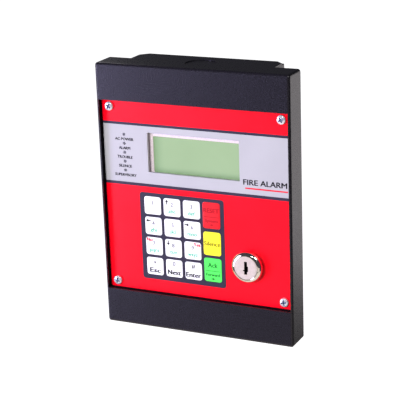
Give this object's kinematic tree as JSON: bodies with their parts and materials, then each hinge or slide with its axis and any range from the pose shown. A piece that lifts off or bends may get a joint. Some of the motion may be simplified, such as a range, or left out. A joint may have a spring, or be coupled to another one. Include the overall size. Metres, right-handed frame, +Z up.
{
  "type": "fire alarm control panel",
  "caption": "Wall-mounted fire alarm panel: dark steel cover over a narrower back box, red faceplate with display, status lamps, push keys and a key switch.",
  "frame": {"origin": "centre of the back box's rear face, in the plane of the wall", "axes": "+Y into the wall, +Z up, +X to the right for someone facing the panel"},
  "size_m": [0.148, 0.0407, 0.1979],
  "materials": {
    "charcoal_paint": "fine textured powder coat, dark charcoal",
    "zinc": "bright zinc plate",
    "plate_steel": "bare cold-rolled steel",
    "label_print": "printed polyester film, red with a pale grey band",
    "keypad_dark": "printed polyester film, dark grey",
    "key_white": "soft embossed key, white",
    "key_red": "soft embossed key, red",
    "key_yellow": "soft embossed key, yellow",
    "key_green": "soft embossed key, green",
    "board_green": "solder-masked circuit board",
    "bright_steel": "bright stainless steel",
    "bezel_metal": "pressed and plated display frame",
    "display_green": "display glass, unlit yellow-green",
    "backlight_white": "clouded acrylic light guide",
    "spacer_nylon": "natural nylon",
    "moulded_black": "black moulded case",
    "lamp_clear": "clear epoxy lamp",
    "can_aluminium": "sleeved aluminium can",
    "terminal_green": "green moulded terminal strip",
    "connector_cream": "cream moulded connector",
    "ribbon_grey": "grey flat cable",
    "wire_red": "insulated hook-up wire",
    "trimmer_blue": "blue moulded trimmer case",
    "lock_chrome": "bright chrome plate",
    "lock_face": "satin chrome plate",
    "brass": "plain brass"
  },
  "bodies": {
    "root": {"front_cover": "charcoal_paint", "back_box": "charcoal_paint", "cover_screws": "zinc", "faceplate_lugs": "zinc", "faceplate": "plate_steel", "faceplate_label": "label_print", "keypad_frame": "keypad_dark", "keypad_board": "board_green", "key_domes": "bright_steel", "faceplate_screws": "zinc", "faceplate_studs": "zinc", "stud_nuts": "zinc", "lcd_bezel": "bezel_metal", "lcd_glass": "display_green", "lcd_backlight": "backlight_white", "lcd_board": "board_green", "lcd_spacers": "spacer_nylon", "board_spacers": "spacer_nylon", "lcd_header": "moulded_black", "main_board": "board_green", "led_board": "board_green", "led_spacers": "spacer_nylon", "indicator_leds": "lamp_clear", "processor": "moulded_black", "small_chips": "moulded_black", "crystal": "bright_steel", "capacitors": "can_aluminium", "regulator": "moulded_black", "buzzer": "moulded_black", "terminal_block": "terminal_green", "terminal_screws": "zinc", "connectors": "connector_cream", "keypad_ribbon": "ribbon_grey", "led_ribbon": "ribbon_grey", "lock_wires": "wire_red", "contrast_trimmer": "trimmer_blue", "lock_body": "lock_chrome", "lock_washer": "zinc", "lock_nut": "zinc", "switch_block": "moulded_black", "switch_terminals": "brass", "ground_stud": "brass", "ground_nuts": "brass"},
    "key_1_body": {"key_1": "key_white"},
    "key_2_body": {"key_2": "key_white"},
    "key_3_body": {"key_3": "key_white"},
    "key_4_body": {"key_4": "key_white"},
    "key_5_body": {"key_5": "key_white"},
    "key_6_body": {"key_6": "key_white"},
    "key_7_body": {"key_7": "key_white"},
    "key_8_body": {"key_8": "key_white"},
    "key_9_body": {"key_9": "key_white"},
    "key_star_body": {"key_star": "key_white"},
    "key_0_body": {"key_0": "key_white"},
    "key_hash_body": {"key_hash": "key_white"},
    "key_reset_body": {"key_reset": "key_red"},
    "key_silence_body": {"key_silence": "key_yellow"},
    "key_acknowledge_body": {"key_acknowledge": "key_green"},
    "lock_plug_body": {"lock_plug": "lock_face"},
    "trimmer_rotor_body": {"trimmer_rotor": "connector_cream"}
  },
  "joints": [
    {"name": "key_1_press", "type": "slide", "parent": "root", "child": "key_1_body", "axis": [0, 1, 0], "range_m": [0, 0.0005], "stiffness_N_per_m": 800, "springref_m": -0.001},
    {"name": "key_2_press", "type": "slide", "parent": "root", "child": "key_2_body", "axis": [0, 1, 0], "range_m": [0, 0.0005], "stiffness_N_per_m": 800, "springref_m": -0.001},
    {"name": "key_3_press", "type": "slide", "parent": "root", "child": "key_3_body", "axis": [0, 1, 0], "range_m": [0, 0.0005], "stiffness_N_per_m": 800, "springref_m": -0.001},
    {"name": "key_4_press", "type": "slide", "parent": "root", "child": "key_4_body", "axis": [0, 1, 0], "range_m": [0, 0.0005], "stiffness_N_per_m": 800, "springref_m": -0.001},
    {"name": "key_5_press", "type": "slide", "parent": "root", "child": "key_5_body", "axis": [0, 1, 0], "range_m": [0, 0.0005], "stiffness_N_per_m": 800, "springref_m": -0.001},
    {"name": "key_6_press", "type": "slide", "parent": "root", "child": "key_6_body", "axis": [0, 1, 0], "range_m": [0, 0.0005], "stiffness_N_per_m": 800, "springref_m": -0.001},
    {"name": "key_7_press", "type": "slide", "parent": "root", "child": "key_7_body", "axis": [0, 1, 0], "range_m": [0, 0.0005], "stiffness_N_per_m": 800, "springref_m": -0.001},
    {"name": "key_8_press", "type": "slide", "parent": "root", "child": "key_8_body", "axis": [0, 1, 0], "range_m": [0, 0.0005], "stiffness_N_per_m": 800, "springref_m": -0.001},
    {"name": "key_9_press", "type": "slide", "parent": "root", "child": "key_9_body", "axis": [0, 1, 0], "range_m": [0, 0.0005], "stiffness_N_per_m": 800, "springref_m": -0.001},
    {"name": "key_star_press", "type": "slide", "parent": "root", "child": "key_star_body", "axis": [0, 1, 0], "range_m": [0, 0.0005], "stiffness_N_per_m": 800, "springref_m": -0.001},
    {"name": "key_0_press", "type": "slide", "parent": "root", "child": "key_0_body", "axis": [0, 1, 0], "range_m": [0, 0.0005], "stiffness_N_per_m": 800, "springref_m": -0.001},
    {"name": "key_hash_press", "type": "slide", "parent": "root", "child": "key_hash_body", "axis": [0, 1, 0], "range_m": [0, 0.0005], "stiffness_N_per_m": 800, "springref_m": -0.001},
    {"name": "key_reset_press", "type": "slide", "parent": "root", "child": "key_reset_body", "axis": [0, 1, 0], "range_m": [0, 0.0005], "stiffness_N_per_m": 800, "springref_m": -0.001},
    {"name": "key_silence_press", "type": "slide", "parent": "root", "child": "key_silence_body", "axis": [0, 1, 0], "range_m": [0, 0.0005], "stiffness_N_per_m": 800, "springref_m": -0.001},
    {"name": "key_acknowledge_press", "type": "slide", "parent": "root", "child": "key_acknowledge_body", "axis": [0, 1, 0], "range_m": [0, 0.0005], "stiffness_N_per_m": 800, "springref_m": -0.001},
    {"name": "lock_turn", "type": "hinge", "parent": "root", "child": "lock_plug_body", "pos_m": [0.0395, -0.0344, -0.042], "axis": [0, 1, 0], "range_deg": [0, 90]},
    {"name": "trimmer_turn", "type": "hinge", "parent": "root", "child": "trimmer_rotor_body", "pos_m": [0.044, -0.0142, 0.052], "axis": [0, 1, 0], "range_deg": [-135, 135]}
  ]
}
